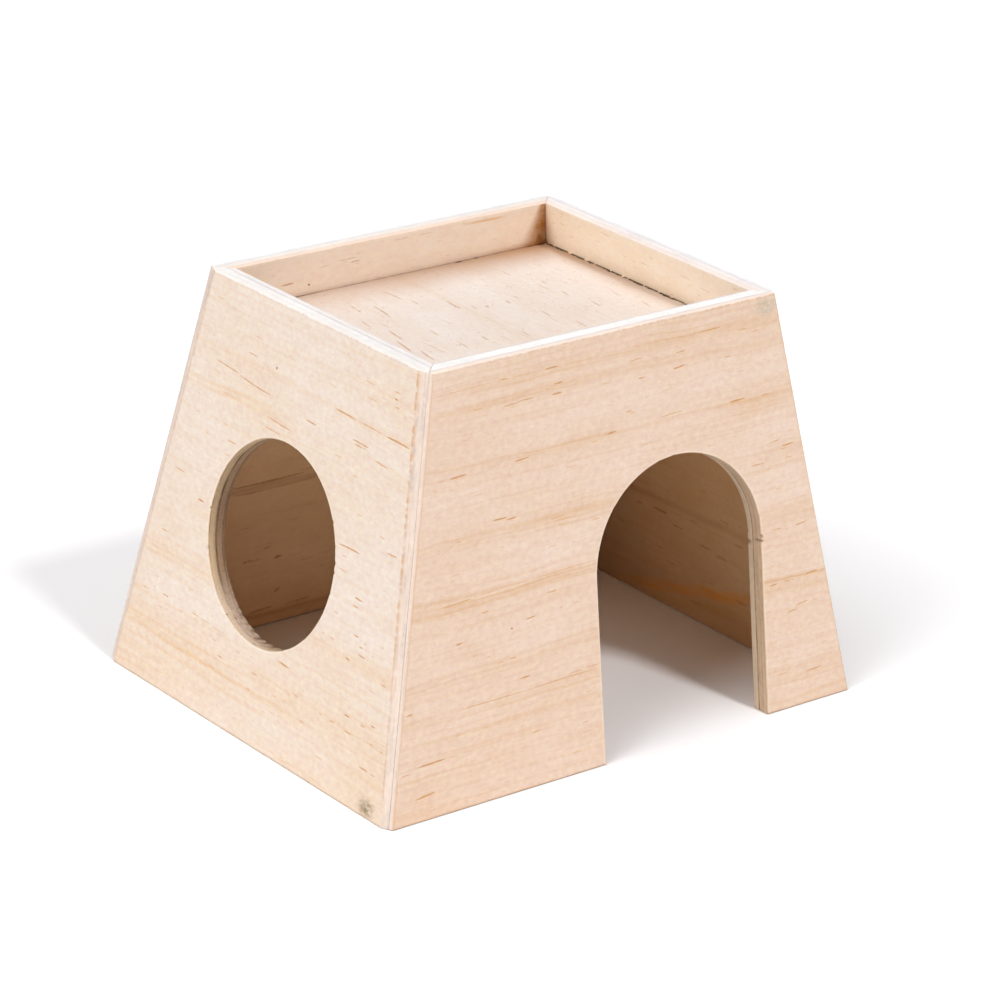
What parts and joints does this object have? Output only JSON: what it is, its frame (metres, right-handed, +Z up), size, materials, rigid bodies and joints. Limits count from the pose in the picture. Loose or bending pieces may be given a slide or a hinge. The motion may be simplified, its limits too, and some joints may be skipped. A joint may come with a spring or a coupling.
{
  "type": "hamster house",
  "caption": "Small open-bottomed plywood house with inward-leaning walls, an arched door in one wall, a round entry hole in the next, and a shallow tray on top.",
  "frame": {"origin": "middle of the footprint, on the surface the house stands on", "axes": "+Z up; +X along the wall with the arched door, away from the wall with the round hole; -Y is the way the arched door faces"},
  "size_m": [0.134, 0.1104, 0.097],
  "materials": {
    "wall_plywood": "bare three-ply softwood sheet, fine sanded, uncoated, matt",
    "tray_plywood": "bare three-ply softwood sheet, paler and greyer face, uncoated, matt"
  },
  "bodies": {
    "root": {"front_panel": "wall_plywood", "back_panel": "wall_plywood", "left_panel": "wall_plywood", "right_panel": "wall_plywood", "tray_panel": "tray_plywood"}
  },
  "joints": []
}
